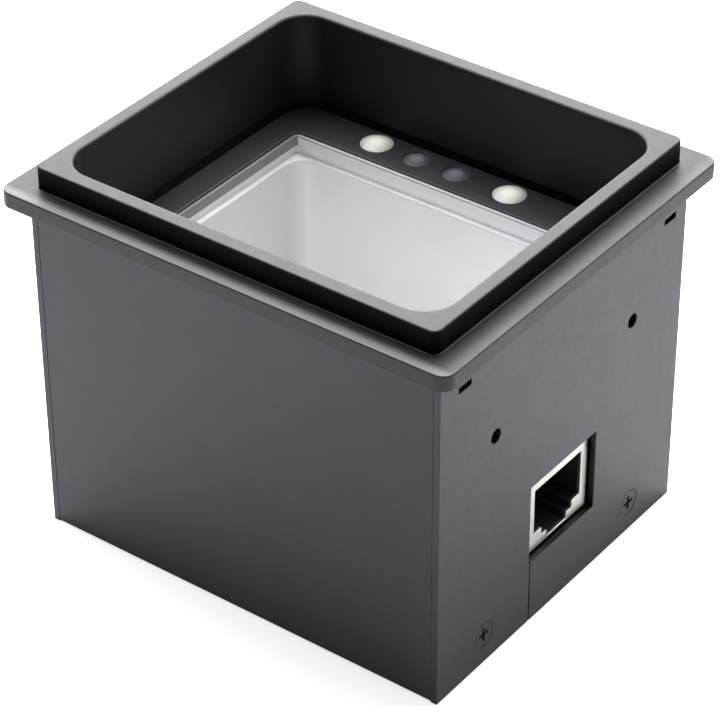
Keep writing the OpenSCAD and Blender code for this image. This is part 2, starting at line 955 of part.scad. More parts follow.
module camera_ribbon_latch() {
    color([0.2, 0.16, 0.14]) on_camera_board() ribbon_latch();
}

module main_ribbon_socket() {
    color([0.85, 0.82, 0.72]) under_main_board() ribbon_socket();
}

module main_ribbon_latch() {
    color([0.2, 0.16, 0.14]) under_main_board() ribbon_latch();
}

module camera_ribbon() {
    low_z = camera_board_top + ribbon_h;
    high_z = board_z - ribbon_h;
    bend_r = (high_z - low_z) / 2;
    low_end = camera_socket_x + ribbon_in;
    high_end = main_socket_x + ribbon_in;
    color([0.88, 0.88, 0.9])
        rotate([90, 0, 0])
            linear_extrude(ribbon_w, center = true) {
                translate([bend_x, low_z - ribbon_t / 2])
                    square([low_end - bend_x, ribbon_t]);
                translate([bend_x, high_z - ribbon_t / 2])
                    square([high_end - bend_x, ribbon_t]);
                difference() {
                    translate([bend_x, low_z + bend_r]) circle(bend_r + ribbon_t / 2);
                    translate([bend_x, low_z + bend_r]) circle(bend_r - ribbon_t / 2);
                    translate([bend_x, 0]) square(2 * board_z);
                }
            }
}

// Main board ----------------------------------------------------------------

module main_board() {
    color(board_colour)
        translate([0, 0, board_z])
            difference() {
                rounded_plate(board_w, board_d, board_t, board_corner_r);
                translate([0, 0, -over])
                    cylinder(board_t + 2 * over, r = lens_opening_r);
                at_corners(board_hole_x, board_hole_y)
                    translate([0, 0, -over])
                        cylinder(board_t + 2 * over, r = m25_clear_r);
            }
}

// Places a drawing on the main board's top face
module on_main_board(place) {
    translate([place[0], place[1], board_top]) children();
}

module processor_chip() {
    size = [14, 14, 1.3];
    color(chip_colour) on_main_board([-21, 12]) block(size[0], size[1], size[2]);
}

module memory_chip() {
    size = [8, 12, 1.1];
    color(chip_colour) on_main_board([-22, -6]) block(size[0], size[1], size[2]);
}

// A row of chip capacitors that starts at a place and goes on by a step
module capacitor_row(start, step, count, size) {
    for (i = [0:count - 1])
        on_main_board(start + i * step) block(size[0], size[1], size[2]);
}

module chip_capacitors() {
    small = [1.6, 0.8, 0.8];
    large = [2, 1.2, 1.1];
    color([0.6, 0.5, 0.36]) {
        capacitor_row([-28, 21.5], [2.8, 0], 6, small);
        capacitor_row([-15, -12], [0, 2.2], 5, small);
        capacitor_row([8, -27.5], [3, 0], 4, large);
    }
}

module crystal_can() {
    size = [5, 3.2, 1.1];
    corner_r = 0.8;
    color(steel_colour)
        on_main_board([-10, 17]) rounded_plate(size[0], size[1], size[2], corner_r);
}

module power_inductor() {
    size = [7, 7, 3];
    corner_r = 1.2;
    color([0.25, 0.25, 0.26])
        on_main_board([10, -20]) rounded_plate(size[0], size[1], size[2], corner_r);
}

module storage_capacitors() {
    foot_w = 6.6;
    foot_h = 1;
    can_r = 3.15;
    can_h = 7.4;
    color(steel_colour)
        for (place = [[25, -24.5], [24.6, 26.7]])
            on_main_board(place) {
                block(foot_w, foot_w, foot_h);
                cylinder(can_h, r = can_r);
            }
}

module network_transformer() {
    size = [12.7, 9.4, 5.6];
    color(chip_colour) on_main_board([28.4, -14.6]) block(size[0], size[1], size[2]);
}

module buzzer() {
    can_r = 4.8;
    can_h = 5;
    port_r = 1.1;
    port_deep = 1.4;
    color(chip_colour)
        on_main_board([28, 17.6])
            difference() {
                cylinder(can_h, r = can_r);
                translate([0, 0, can_h - port_deep]) cylinder(over + port_deep, r = port_r);
            }
}

// Network socket ------------------------------------------------------------

// The plug opening seen from outside: x along the row's Y, y up from the shell's foot
module plug_outline(grow) {
    steps = [[cavity_w, cavity_foot], [shoulder_w, shoulder_foot], [clip_w, clip_foot]];
    for (step = steps)
        translate([-step[0] / 2 - grow, step[1] - grow])
            square([step[0] + 2 * grow, cavity_top - step[1] + 2 * grow]);
}

// Places a drawing at the socket: x along the row's Y, y up from the board, z outwards
module at_port() {
    translate([0, socket_y, port_z]) on_right_side(port_x) children();
}

module socket_shell() {
    color([0.8, 0.8, 0.78])
        at_port()
            difference() {
                translate([-socket_w / 2, 0, -socket_depth])
                    cube([socket_w, socket_h, socket_depth]);
                translate([shell_t - socket_w / 2, shell_t, -socket_depth - over])
                    cube([socket_w - 2 * shell_t, socket_h - 2 * shell_t,
                        socket_depth + over - shell_t]);
                translate([0, 0, -2 * shell_t]) linear_extrude(2) plug_outline(0.1);
            }
}

module socket_insert() {
    insert_w = socket_w - 2 * shell_t - 2 * gap;
    insert_h = socket_h - 2 * shell_t - 2 * gap;
    insert_l = socket_depth - 1;
    color(chip_colour)
        at_port()
            difference() {
                translate([-insert_w / 2, shell_t + gap, -insert_l - shell_t - gap])
                    cube([insert_w, insert_h, insert_l]);
                translate([0, 0, -cavity_deep]) linear_extrude(cavity_deep) plug_outline(0);
                for (i = [-3.5:3.5])
                    translate([i * contact_pitch - contact_slot_w / 2, cavity_top - 0.1,
                            -contact_slot_end])
                        cube([contact_slot_w, contact_slot_w, contact_slot_l]);
            }
}

// One spring contact: a straight leg in the roof slot, folded back into the mouth
module contact_profile() {
    wire = 0.35;
    leg = cavity_top + wire + gap;
    tip = 3.4;
    polygon([[-2, leg], [-10.4, leg], [-10.4, leg - wire], [-2.6, leg - wire],
        [-9, leg - tip], [-8.8, leg - tip - wire], [-1.8, leg - 0.7 * wire]]);
}

module socket_contacts() {
    color(brass_colour)
        at_port()
            for (i = [-3.5:3.5])
                translate([i * contact_pitch + contact_w / 2, 0, 0]) rotate([0, -90, 0])
                    linear_extrude(contact_w) contact_profile();
}

top_bezel();
wrap_shell();
right_plate();
left_plate();
side_screws();
base_screws();
board_standoffs();
board_screws();
window_deck();
deck_seal();
glass_tape();
window_glass();
light_lenses();
sensor_lenses();
lens_row_board();
lens_row_leds();
lens_row_sensors();
lens_row_screws();
harness_plug();
harness_socket();
harness_wires();
light_box();
light_box_screws();
ring_light_board();
ring_light_leds();
ring_light_screws();
ring_light_header();
ring_light_pins();
camera_board();
camera_spacers();
camera_screws();
image_sensor();
sensor_cover_glass();
lens_holder();
lens_set_screw();
lens_barrel();
lens_front_element();
lens_rear_element();
camera_ribbon();
camera_ribbon_socket();
camera_ribbon_latch();
main_ribbon_socket();
main_ribbon_latch();
main_board();
processor_chip();
memory_chip();
chip_capacitors();
crystal_can();
power_inductor();
storage_capacitors();
network_transformer();
buzzer();
socket_shell();
socket_insert();
socket_contacts();
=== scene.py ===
"""Looks of the fixed-mount window barcode scanner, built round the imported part.

Lengths below are in millimetres unless a name says otherwise, and MM turns them into metres.
The frame is the part's own: +X to the socket side, +Y to the lens row, +Z up.
"""

import json
import math

import bmesh
import bpy
from mathutils import Matrix, Vector


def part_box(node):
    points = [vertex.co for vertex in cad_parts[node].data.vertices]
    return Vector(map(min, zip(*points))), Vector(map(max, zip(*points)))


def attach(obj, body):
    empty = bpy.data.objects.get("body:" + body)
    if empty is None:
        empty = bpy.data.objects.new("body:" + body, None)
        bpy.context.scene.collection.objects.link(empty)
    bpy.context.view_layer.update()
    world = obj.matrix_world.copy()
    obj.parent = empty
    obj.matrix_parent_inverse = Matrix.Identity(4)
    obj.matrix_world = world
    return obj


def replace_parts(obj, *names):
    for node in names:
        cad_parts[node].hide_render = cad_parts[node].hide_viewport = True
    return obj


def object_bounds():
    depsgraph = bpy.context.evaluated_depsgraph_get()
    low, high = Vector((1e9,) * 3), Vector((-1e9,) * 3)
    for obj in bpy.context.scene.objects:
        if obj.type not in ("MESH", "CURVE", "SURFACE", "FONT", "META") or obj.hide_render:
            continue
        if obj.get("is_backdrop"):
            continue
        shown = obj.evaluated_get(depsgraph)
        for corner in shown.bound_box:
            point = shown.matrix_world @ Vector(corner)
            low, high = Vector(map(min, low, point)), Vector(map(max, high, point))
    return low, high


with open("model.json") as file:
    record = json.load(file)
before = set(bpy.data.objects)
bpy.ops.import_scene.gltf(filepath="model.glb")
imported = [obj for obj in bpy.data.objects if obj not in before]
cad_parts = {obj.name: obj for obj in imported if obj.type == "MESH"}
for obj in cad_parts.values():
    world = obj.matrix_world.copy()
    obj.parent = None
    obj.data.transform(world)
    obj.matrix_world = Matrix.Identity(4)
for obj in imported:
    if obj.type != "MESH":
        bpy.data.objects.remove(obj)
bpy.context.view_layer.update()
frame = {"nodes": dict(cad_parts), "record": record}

MM = 0.001
TINY = 1e-6
SMOOTH_ANGLE = math.radians(34)  # edges sharper than this stay sharp and are rounded
FLAT_ANGLE = math.radians(0.6)  # faces flatter than this are joined before edges are rounded
MERGE_M = 1e-6

# Camera: the direction it looks from, its distance and lens, and where it aims
VIEW_AZIMUTH = math.radians(36.94)
VIEW_ELEVATION = math.radians(35.24)
VIEW_ROLL = math.radians(-0.31)
VIEW_DISTANCE = 493.09 * MM
VIEW_LENS = 154.6
VIEW_SENSOR = 36.0
AIM_SHIFT = Vector((2.30, -3.55, -0.47)) * MM

# Studio: a floor, a large key panel behind on the left and a small side panel on the right.
# Sizes and distances are in metres. FLOOR_LIFT is light that only the camera sees on the floor.
FLOOR_SIZE = 6.0
FLOOR_ALBEDO = 0.86
FLOOR_LIFT = 0.64
KEY_DIRECTION = Vector((-0.46, 0.60, 0.66)).normalized()
KEY_DISTANCE = 0.62
KEY_SIZE = 1.25
KEY_RADIANCE = 6.0
FILL_RADIANCE = 0.25
SIDE_DIRECTION = Vector((0.80, 0.35, 0.45)).normalized()
SIDE_DISTANCE = 0.45
SIDE_SIZE = 0.4
SIDE_RADIANCE = 0.8

# The bezel: the collar's height over the flange, the flange's thickness, and the well's width,
# depth and corner radius
COLLAR_H, FLANGE_T = 4.0, 2.8
WELL = (70.6, 60.3, 5.5)

# Coated surfaces: the grain sizes of their noise, the colour of their black zones, and the pale
# colour of their painted highlight
BROAD, MIDDLE = 9, 1.7
ZONE_BLACK = (0.003, 0.003, 0.0033)
PAINTED_HIGHLIGHT = (0.15, 0.15, 0.155)
GLOSSY = 0.5  # the usual specular level


# Shader helpers ----------------------------------------------------------------------------------

class Look:
    """One procedural material. Textures are laid out in the object's own frame, in metres."""

    def __init__(self, name):
        self.mat = bpy.data.materials.new(name)
        self.mat.use_nodes = True
        self.tree = self.mat.node_tree
        self.tree.nodes.clear()
        self.out = self.add("ShaderNodeOutputMaterial")
        self.place = self.add("ShaderNodeTexCoord").outputs["Object"]

    def add(self, kind, inputs=(), **settings):
        """Adds a node. A value in inputs is a number, a colour or another node's socket."""
        made = self.tree.nodes.new(kind)
        for key, value in settings.items():
            setattr(made, key, value)
        for key, value in dict(inputs).items():
            if isinstance(value, bpy.types.NodeSocket):
                self.tree.links.new(value, made.inputs[key])
            else:
                made.inputs[key].default_value = value
        return made

    def math(self, operation, a, b=0.0, clamp=False):
        return self.add("ShaderNodeMath", {0: a, 1: b}, operation=operation,
                        use_clamp=clamp).outputs[0]

    def product(self, *factors):
        """The product of two or more values."""
        made = factors[0]
        for factor in factors[1:]:
            made = self.math("MULTIPLY", made, factor)
        return made

    def axes(self, vector=None):
        """The X, Y and Z of a vector, or of the place in the object's frame."""
        return self.add("ShaderNodeSeparateXYZ", {0: vector or self.place}).outputs

    def normal_axis(self, axis):
        """One axis of the surface's normal."""
        return self.axes(self.add("ShaderNodeNewGeometry").outputs["Normal"])[axis]

    def stretched(self, stretch):
        """Object coordinates, scaled by a factor on each axis."""
        return self.add("ShaderNodeMapping", {"Vector": self.place, "Scale": stretch}).outputs[0]

    def noise(self, size, detail=3.0, stretch=(1, 1, 1)):
        """Noise from 0 to 1 whose grains are about size millimetres wide."""
        return self.add("ShaderNodeTexNoise", {
            "Vector": self.stretched(stretch), "Scale": 1 / (size * MM), "Detail": detail,
            "Roughness": 0.55}).outputs[0]

    def spread(self, fac, low, high, start=0.3, end=0.7):
        """Takes fac from start..end to low..high."""
        return self.add("ShaderNodeMapRange", {
            "Value": fac, "From Min": start, "From Max": end, "To Min": low,
            "To Max": high}).outputs[0]

    def mix(self, fac, a, b):
        colour_a, colour_b, result = 6, 7, 2  # the colour sockets of a Mix node
        made = self.add("ShaderNodeMix", {"Factor": fac}, data_type="RGBA")
        for slot, value in ((colour_a, a), (colour_b, b)):
            if isinstance(value, bpy.types.NodeSocket):
                self.tree.links.new(value, made.inputs[slot])
            else:
                made.inputs[slot].default_value = (*value, 1)
        return made.outputs[result]

    def edges(self, radius):
        """About 0 on flat ground and towards 1 on convex edges and corners."""
        rounded = self.add("ShaderNodeBevel", {"Radius": radius * MM}, samples=6).outputs[0]
        true = self.add("ShaderNodeNewGeometry").outputs["True Normal"]
        dot = self.add("ShaderNodeVectorMath", {0: rounded, 1: true},
                       operation="DOT_PRODUCT").outputs["Value"]
        return self.spread(dot, 1.0, 0.0, 0.75, 0.99)

    def bump(self, height, depth, strength=1.0, normal=None):
        """A normal from a 0 to 1 height that stands for depth millimetres."""
        inputs = {"Height": height, "Distance": depth * MM, "Strength": strength}
        if normal is not None:
            inputs["Normal"] = normal
        return self.add("ShaderNodeBump", inputs).outputs[0]

    def finish(self, **inputs):
        """Closes the material with a Principled shader."""
        shader = self.add("ShaderNodeBsdfPrincipled")
        for key, value in inputs.items():
            socket = shader.inputs[key.replace("_", " ")]
            if isinstance(value, bpy.types.NodeSocket):
                self.tree.links.new(value, socket)
            elif isinstance(value, tuple) and len(socket.default_value) == 4:
                socket.default_value = (*value, 1)
            else:
                socket.default_value = value
        self.tree.links.new(shader.outputs[0], self.out.inputs["Surface"])
        return self.mat


def tinted(colour, factor):
    return tuple(min(1.0, c * factor) for c in colour)


def mottled(look, colour, fac, mottle):
    """The colour, a little darker and lighter from place to place."""
    return look.mix(look.spread(fac, 0, 1), tinted(colour, 1 - mottle),
                    tinted(colour, 1 + mottle))


def coated(name, colour, worn, rough, grain=0.25, depth=0.004, wear=0.25, edge=0.25,
           zones=None, tint=(1.0, 1.0, 1.0)):
    """Painted metal or moulded plastic: fine grain, uneven sheen, lighter edges.

    zones is a function that takes the look and returns its specular level, where it is black and
    where it carries a pale painted highlight."""
    look = Look(name)
    level, black, pale = zones(look) if zones else (GLOSSY, 0.0, 0.0)
    broad = look.noise(BROAD, 2)
    middle = look.noise(MIDDLE, 4)
    fine = look.noise(grain, 2)
    speck = look.mix(look.spread(fine, 0, 1, 0.35, 0.65), tinted(colour, 1.25), tinted(colour, 0.8))
    base = look.mix(0.35, mottled(look, colour, broad, 0.12), speck)
    worn_there = look.spread(middle, 0, wear, 0.35, 0.7)
    rubbed = look.math("MULTIPLY", look.edges(edge), worn_there, True)
    base = look.mix(black, look.mix(rubbed, base, worn), ZONE_BLACK)
    # painted highlight: the colour is lightened where zones give it
    base = look.mix(pale, base, PAINTED_HIGHLIGHT)
    sheen = look.math("ADD", look.spread(middle, rough * 0.92, rough * 1.08),
                      look.spread(broad, -0.02, 0.02))
    normal = look.bump(broad, 0.01, 0.4, look.bump(fine, depth))
    return look.finish(Base_Color=base, Roughness=sheen, Normal=normal, IOR=1.5,
                       Specular_IOR_Level=level, Specular_Tint=tint)


def bezel_zones(look):
    """The bezel's specular level, its black zone and its painted highlight.

    The well's walls are duller than the rim and the flange. The collar's outer sides carry a black
    band. The flange's top carries a painted highlight towards its front and right edges."""
    low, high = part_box("top_bezel")
    well_x, well_y = (WELL[0] / 2 + 0.3) * MM, (WELL[1] / 2 + 0.65) * MM  # the well and a bit more
    flange_top = high.z - COLLAR_H * MM
    near, collar_foot = 0.3 * MM, flange_top + 0.1 * MM
    front_edge, front_inner = low.y + 1.0 * MM, low.y + 2.3 * MM
    right_inner, right_edge, right_highlight_share = high.x - 2.45 * MM, high.x - 0.85 * MM, 0.3
    dull, band = 0.16, 0.05  # specular levels of the well's walls and of the black band
    place = look.axes()
    tilt = look.math("ABSOLUTE", look.normal_axis("Z"))
    upright = look.spread(tilt, 1, 0, 0.25, 0.8)
    inside = look.product(look.math("LESS_THAN", look.math("ABSOLUTE", place["X"]), well_x),
                          look.math("LESS_THAN", look.math("ABSOLUTE", place["Y"]), well_y))
    black = look.product(look.math("SUBTRACT", 1.0, inside),
                         look.math("GREATER_THAN", place["Z"], collar_foot), upright)
    level = look.spread(look.product(inside, upright), GLOSSY, dull, 0, 1)
    # a painted highlight on the flange's top, fading in towards its front and right edges
    front = look.spread(place["Y"], 1, 0, front_edge, front_inner)
    right = look.spread(place["X"], 0, right_highlight_share, right_inner, right_edge)
    flat = look.product(look.spread(tilt, 0, 1, 0.7, 0.95),
                        look.math("LESS_THAN", place["Z"], flange_top + near),
                        look.math("GREATER_THAN", place["Z"], flange_top - near))
    pale = look.product(look.math("MAXIMUM", front, right), flat)
    return look.spread(black, level, band, 0, 1), black, pale


def sheet_zones(look):
    """The sheet's specular level, its black zone and its painted highlight, which is none.

    The walls of the holes cut through the side plates are black. The plates' outer edges aren't."""
    # Further out than inner_x is a side plate, and its holes lie within reach_y and above foot_z
    low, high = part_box("right_plate")
    inner_x, reach_y, foot_z = low.x - 0.1 * MM, high.y - 0.85 * MM, low.z + 0.9 * MM
    place = look.axes()
    tilt = look.math("ABSOLUTE", look.normal_axis("X"))
    side = look.product(look.math("GREATER_THAN", look.math("ABSOLUTE", place["X"]), inner_x),
                        look.math("LESS_THAN", look.math("ABSOLUTE", place["Y"]), reach_y),
                        look.math("GREATER_THAN", place["Z"], foot_z))
    return GLOSSY, look.product(side, look.spread(tilt, 1, 0, 0.3, 0.7)), 0.0


def bare_metal(name, colour, rough, stain, scratch=(1, 1, 14), depth=0.003):
    """Bare or plated metal: fine scratches along one way, dull patches, darker stains."""
    look = Look(name)
    patch = look.noise(3.5, 3)
    lines = look.noise(0.35, 3, scratch)
    fine = look.noise(0.15, 2)
    base = look.mix(look.spread(patch, 0, 1), colour, stain)
    base = look.mix(look.math("MULTIPLY", look.edges(0.15), 0.5), base, tinted(colour, 1.2))
    sheen = look.math("ADD", look.spread(patch, rough * 0.8, rough * 1.25),
                      look.spread(lines, -0.05, 0.06), True)
    normal = look.bump(fine, 0.001, 0.6, look.bump(lines, depth))
    return look.finish(Base_Color=base, Metallic=1.0, Roughness=sheen, Normal=normal)


def circuit_mask(name, mask, copper):
    """A circuit board: solder mask over thin raised tracks, pale fibre at the cut edges."""
    cell, tracks_per_cell = 2.4 * MM, 3.0
    fibre = (0.45, 0.42, 0.28)
    look = Look(name)
    grid = look.add("ShaderNodeTexVoronoi", {
        "Vector": look.place, "Scale": 1 / cell, "Randomness": 0.6}, distance="CHEBYCHEV",
        feature="F1").outputs["Distance"]
    rings = look.math("FRACT", look.math("MULTIPLY", grid, tracks_per_cell))
    track = look.spread(rings, 0, 1, 0.42, 0.5)
    weave = look.noise(0.5, 2, (3, 1, 1))
    fine = look.noise(0.2, 3)
    face = look.mix(track, mask, copper)
    face = look.mix(look.spread(weave, 0, 0.35), face, tinted(mask, 0.6))
    face = look.mix(look.math("MULTIPLY", look.edges(0.3), 0.5), face, fibre)
    normal = look.bump(fine, 0.002, 0.7, look.bump(track, 0.03))
    return look.finish(Base_Color=face, Roughness=look.spread(fine, 0.32, 0.48), Normal=normal,
                       Coat_Weight=0.25, Coat_Roughness=0.15)


def milky(name, colour, rough, glow=0.0, scatter=1.2, mottle=0.04):
    """Translucent white plastic: light goes in a little and comes out softened."""
    look = Look(name)
    broad = look.noise(7, 2)
    fine = look.noise(0.3, 3)
    base = mottled(look, colour, broad, mottle)
    base = look.mix(look.math("MULTIPLY", look.edges(0.4), 0.3), base, tinted(colour, 1.06))
    # glow is painted glow: emission on a piece that is no lamp
    return look.finish(Base_Color=base, Roughness=look.spread(fine, rough * 0.9, rough * 1.1),
                       Normal=look.bump(fine, 0.003), Subsurface_Weight=0.35,
                       Subsurface_Scale=scatter * MM, Subsurface_Radius=(1.0, 0.9, 0.75),
                       Emission_Color=base, Emission_Strength=glow)


def chamber_white(name):
    """Matt white moulding of the light box, with a weak painted glow for the light it scatters.

    Its left wall carries painted shade, the top of its rim is greyer, and the rim's left side
    carries darker painted shade."""
    glass_low, glass_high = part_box("window_glass")
    rim_left, rim_foot = glass_low.x + 0.25 * MM, glass_high.z - 0.2 * MM
    rim_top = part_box("light_box")[1].z - 0.3 * MM
    low_white, high_white = (0.85, 0.85, 0.86), (0.88, 0.88, 0.89)
    wall_painted_shade, top_grey, rim_painted_shade = (0.66, 0.66, 0.67), (0.45, 0.45, 0.46), (0.20, 0.20, 0.21)
    glow = 0.06
    look = Look(name)
    fine = look.noise(0.3, 3)
    place = look.axes()
    left = look.product(look.math("LESS_THAN", place["X"], rim_left),
                        look.math("GREATER_THAN", place["Z"], rim_foot))
    shaded = look.spread(look.normal_axis("X"), 0, 1, 0.45, 0.95)
    base = look.mix(look.spread(look.noise(BROAD, 2), 0, 1), low_white, high_white)
    # painted shade on the left wall, which faces +X
    base = look.mix(shaded, base, wall_painted_shade)
    base = look.mix(look.math("GREATER_THAN", place["Z"], rim_top), base, top_grey)
    # darker painted shade on the rim's left side
    base = look.mix(left, base, rim_painted_shade)
    # painted glow, left out on the rim's left side and above the rim's foot
    painted_glow = look.product(look.math("SUBTRACT", 1.0, left),
                       look.math("LESS_THAN", place["Z"], rim_foot), glow)
    return look.finish(Base_Color=base, Roughness=look.spread(fine, 0.5, 0.6),
                       Normal=look.bump(fine, 0.003), Emission_Color=base, Emission_Strength=painted_glow)


def clear_pane(name, tint, shine):
    """Thin coated glass: mostly see-through, with a weak reflection that grows at low angles."""
    rough = 0.03
    look = Look(name)
    smear = look.noise(14, 4, (1, 2.5, 1))
    dust = look.spread(look.noise(0.35, 1), 0, 0.03, 0.66, 0.72)
    facing = look.add("ShaderNodeLayerWeight", {"Blend": 0.2}).outputs["Fresnel"]
    front = look.math("SUBTRACT", 1.0, look.add("ShaderNodeNewGeometry").outputs["Backfacing"])
    shining = look.math("ADD", look.math("MULTIPLY", facing, shine), dust)
    mirror = look.math("MULTIPLY", front, shining, True)
    through = look.add("ShaderNodeBsdfTransparent", {"Color": (*tint, 1)}).outputs[0]
    glossy = look.add("ShaderNodeBsdfGlossy", {
        "Color": (0.95, 0.97, 1, 1), "Roughness": look.spread(smear, rough * 0.6, rough * 1.8),
        "Normal": look.bump(smear, 0.01, 0.2)}).outputs[0]
    blend = look.add("ShaderNodeMixShader", {0: mirror, 1: through, 2: glossy}).outputs[0]
    look.tree.links.new(blend, look.out.inputs["Surface"])
    return look.mat


def coated_glass(name, tint, rough=0.03):
    """Optical glass with the violet and green sheen of its coating."""
    look = Look(name)
    facing = look.add("ShaderNodeLayerWeight", {"Blend": 0.4}).outputs["Facing"]
    sheen = look.mix(facing, (0.30, 0.12, 0.55), (0.10, 0.45, 0.30))
    body = look.mix(look.spread(look.noise(4, 3), 0.1, 0.2), tint, sheen)
    return look.finish(Base_Color=body, IOR=1.6, Coat_Weight=0.8, Coat_Roughness=0.02,
                       Coat_Tint=sheen, Normal=look.bump(look.noise(0.6, 2), 0.0006),
                       Roughness=look.spread(look.noise(1.5, 3), rough * 0.6, rough * 1.6))


def dome_middle(look, start):
    """1 at the top of a low dome, falling to 0 where its normal's height is start. It masks painted
    highlights.
    """
    return look.spread(look.normal_axis("Z"), 0, 1, start, 0.998)


def led_dome(name):
    """A milky diffusing lens: creamy over its LED, with painted highlight and glow in its middle.
    """
    look = Look(name)
    fine = look.noise(0.5, 3)
    middle = dome_middle(look, 0.93)
    # the bright middle is partly the LED's creamy colour and partly a painted highlight
    base = look.mix(middle, (0.52, 0.52, 0.50), (0.84, 0.85, 0.76))
    base = look.mix(look.spread(fine, 0, 0.15), base, (0.62, 0.62, 0.58))
    # the emission is painted glow in the middle
    return look.finish(Base_Color=base, Roughness=look.spread(fine, 0.2, 0.3),
                       Normal=look.bump(fine, 0.002), Subsurface_Weight=0.2,
                       Subsurface_Scale=1.0 * MM, Emission_Color=base,
                       Emission_Strength=look.math("MULTIPLY", middle, 0.25))


def dark_dome(name):
    """A smoky infrared-pass lens with a painted highlight that lightens its middle."""
    look = Look(name)
    fine = look.noise(0.5, 3)
    # painted highlight: lighter where the dome faces up
    base = look.mix(dome_middle(look, 0.97), (0.07, 0.07, 0.085), (0.19, 0.185, 0.22))
    return look.finish(Base_Color=base, Roughness=look.spread(fine, 0.42, 0.5), IOR=1.35,
                       Normal=look.bump(fine, 0.002))


def ribbon_film(name):
    """A flat ribbon cable: pale film over fine parallel conductors."""
    pitch = 0.5 * MM
    look = Look(name)
    across = look.math("MULTIPLY", look.axes()["Y"], 1 / pitch)
    wave = look.math("ABSOLUTE", look.math("SUBTRACT", look.math("FRACT", across), 0.5))
    wire = look.spread(wave, 1, 0, 0.18, 0.26)
    base = look.mix(wire, (0.74, 0.75, 0.76), (0.55, 0.52, 0.48))
    base = look.mix(look.spread(look.noise(2, 3), 0, 0.25), base, (0.62, 0.63, 0.66))
    return look.finish(Base_Color=base, Roughness=look.spread(look.noise(0.8, 2), 0.3, 0.42),
                       Normal=look.bump(wire, 0.05), Coat_Weight=0.3)


def led_look(name):
    """A white LED body; its yellow phosphor window is a piece of its own."""
    look = Look(name)
    fine = look.noise(0.3, 3)
    base = look.mix(look.spread(fine, 0, 1), (0.80, 0.79, 0.74), (0.88, 0.87, 0.83))
    return look.finish(Base_Color=base, Roughness=look.spread(fine, 0.35, 0.5),
                       Normal=look.bump(fine, 0.003))


VIOLET_SHEEN = (0.95, 0.93, 1.0)
LOOKS = {
    "bezel": coated("bezel", (0.014, 0.014, 0.016), (0.10, 0.10, 0.105), 0.48, 0.22, 0.0025,
                    wear=0.2, zones=bezel_zones),
    "sheet": coated("sheet", (0.030, 0.029, 0.039), (0.12, 0.12, 0.13), 0.42, 0.18, 0.0022,
                    wear=0.2, zones=sheet_zones, tint=VIOLET_SHEEN),
    "dark_screws": coated("dark_screws", (0.024, 0.024, 0.029), (0.10, 0.10, 0.11), 0.42, 0.18,
                          0.003, wear=0.2, edge=0.12, tint=VIOLET_SHEEN),
    "bright_screws": bare_metal("bright_screws", (0.62, 0.62, 0.64), 0.28, (0.42, 0.42, 0.43)),
    "standoffs": bare_metal("standoffs", (0.75, 0.58, 0.28), 0.3, (0.55, 0.38, 0.16)),
    "deck": coated("deck", (0.020, 0.020, 0.024), (0.08, 0.08, 0.085), 0.45, 0.2, 0.002, wear=0.15),
    "seal": coated("seal", (0.008, 0.008, 0.008), (0.02, 0.02, 0.02), 0.8, 0.3, 0.02, wear=0.1),
    # the tape's glow is painted glow that lightens it
    "white_tape": milky("white_tape", (0.80, 0.80, 0.81), 0.7, glow=0.06, scatter=0.3),
    "clear_glass": clear_pane("clear_glass", (0.99, 0.988, 0.995), 0.02),
    "light_lenses": led_dome("light_lenses"),
    "sensor_lenses": dark_dome("sensor_lenses"),
    "circuit_board": circuit_mask("circuit_board", (0.012, 0.11, 0.045), (0.03, 0.2, 0.08)),
    "white_board": coated("white_board", (0.78, 0.78, 0.76), (0.6, 0.58, 0.5), 0.35, 0.3, 0.002),
    "led_package": led_look("led_package"),
    "led_phosphor": milky("led_phosphor", (0.85, 0.68, 0.12), 0.35, scatter=0.3, mottle=0.08),
    "chip_black": coated("chip_black", (0.02, 0.02, 0.021), (0.08, 0.08, 0.08), 0.5, 0.12, 0.004,
                         wear=0.3),
    "connector_plastic": coated("connector_plastic", (0.72, 0.67, 0.52), (0.8, 0.76, 0.65), 0.4,
                                0.3, 0.003),
    "latch_plastic": coated("latch_plastic", (0.05, 0.03, 0.022), (0.12, 0.09, 0.07), 0.4, 0.25,
                            0.003),
    "wire_jacket": coated("wire_jacket", (0.03, 0.03, 0.032), (0.1, 0.1, 0.1), 0.45, 0.4, 0.004),
    "light_box": chamber_white("light_box"),
    "contact_metal": bare_metal("contact_metal", (0.86, 0.66, 0.28), 0.2, (0.75, 0.52, 0.2)),
    "sensor_die": coated_glass("sensor_die", (0.06, 0.05, 0.10), 0.15),
    "barrel_metal": bare_metal("barrel_metal", (0.03, 0.03, 0.032), 0.42, (0.015, 0.015, 0.016)),
    "lens_glass": coated_glass("lens_glass", (0.02, 0.02, 0.035)),
    "ribbon": ribbon_film("ribbon"),
    "chip_ceramic": coated("chip_ceramic", (0.36, 0.25, 0.14), (0.6, 0.58, 0.55), 0.4, 0.15, 0.003,
                           wear=0.6),
    "inductor": coated("inductor", (0.07, 0.07, 0.075), (0.3, 0.3, 0.3), 0.55, 0.12, 0.01,
                       wear=0.5),
    "capacitor_can": bare_metal("capacitor_can", (0.68, 0.69, 0.71), 0.25, (0.5, 0.5, 0.52)),
    "socket_metal": bare_metal("socket_metal", (0.72, 0.71, 0.68), 0.30, (0.58, 0.56, 0.52),
                               (1, 14, 1), 0.004),
    "socket_plastic": coated("socket_plastic", (0.012, 0.012, 0.013), (0.05, 0.05, 0.05), 0.42, 0.2,
                             0.003),
}
SLOT_OF = {part["node"]: part["material_slot"] for part in frame["record"]["subparts"]}


# Mesh helpers ------------------------------------------------------------------------------------

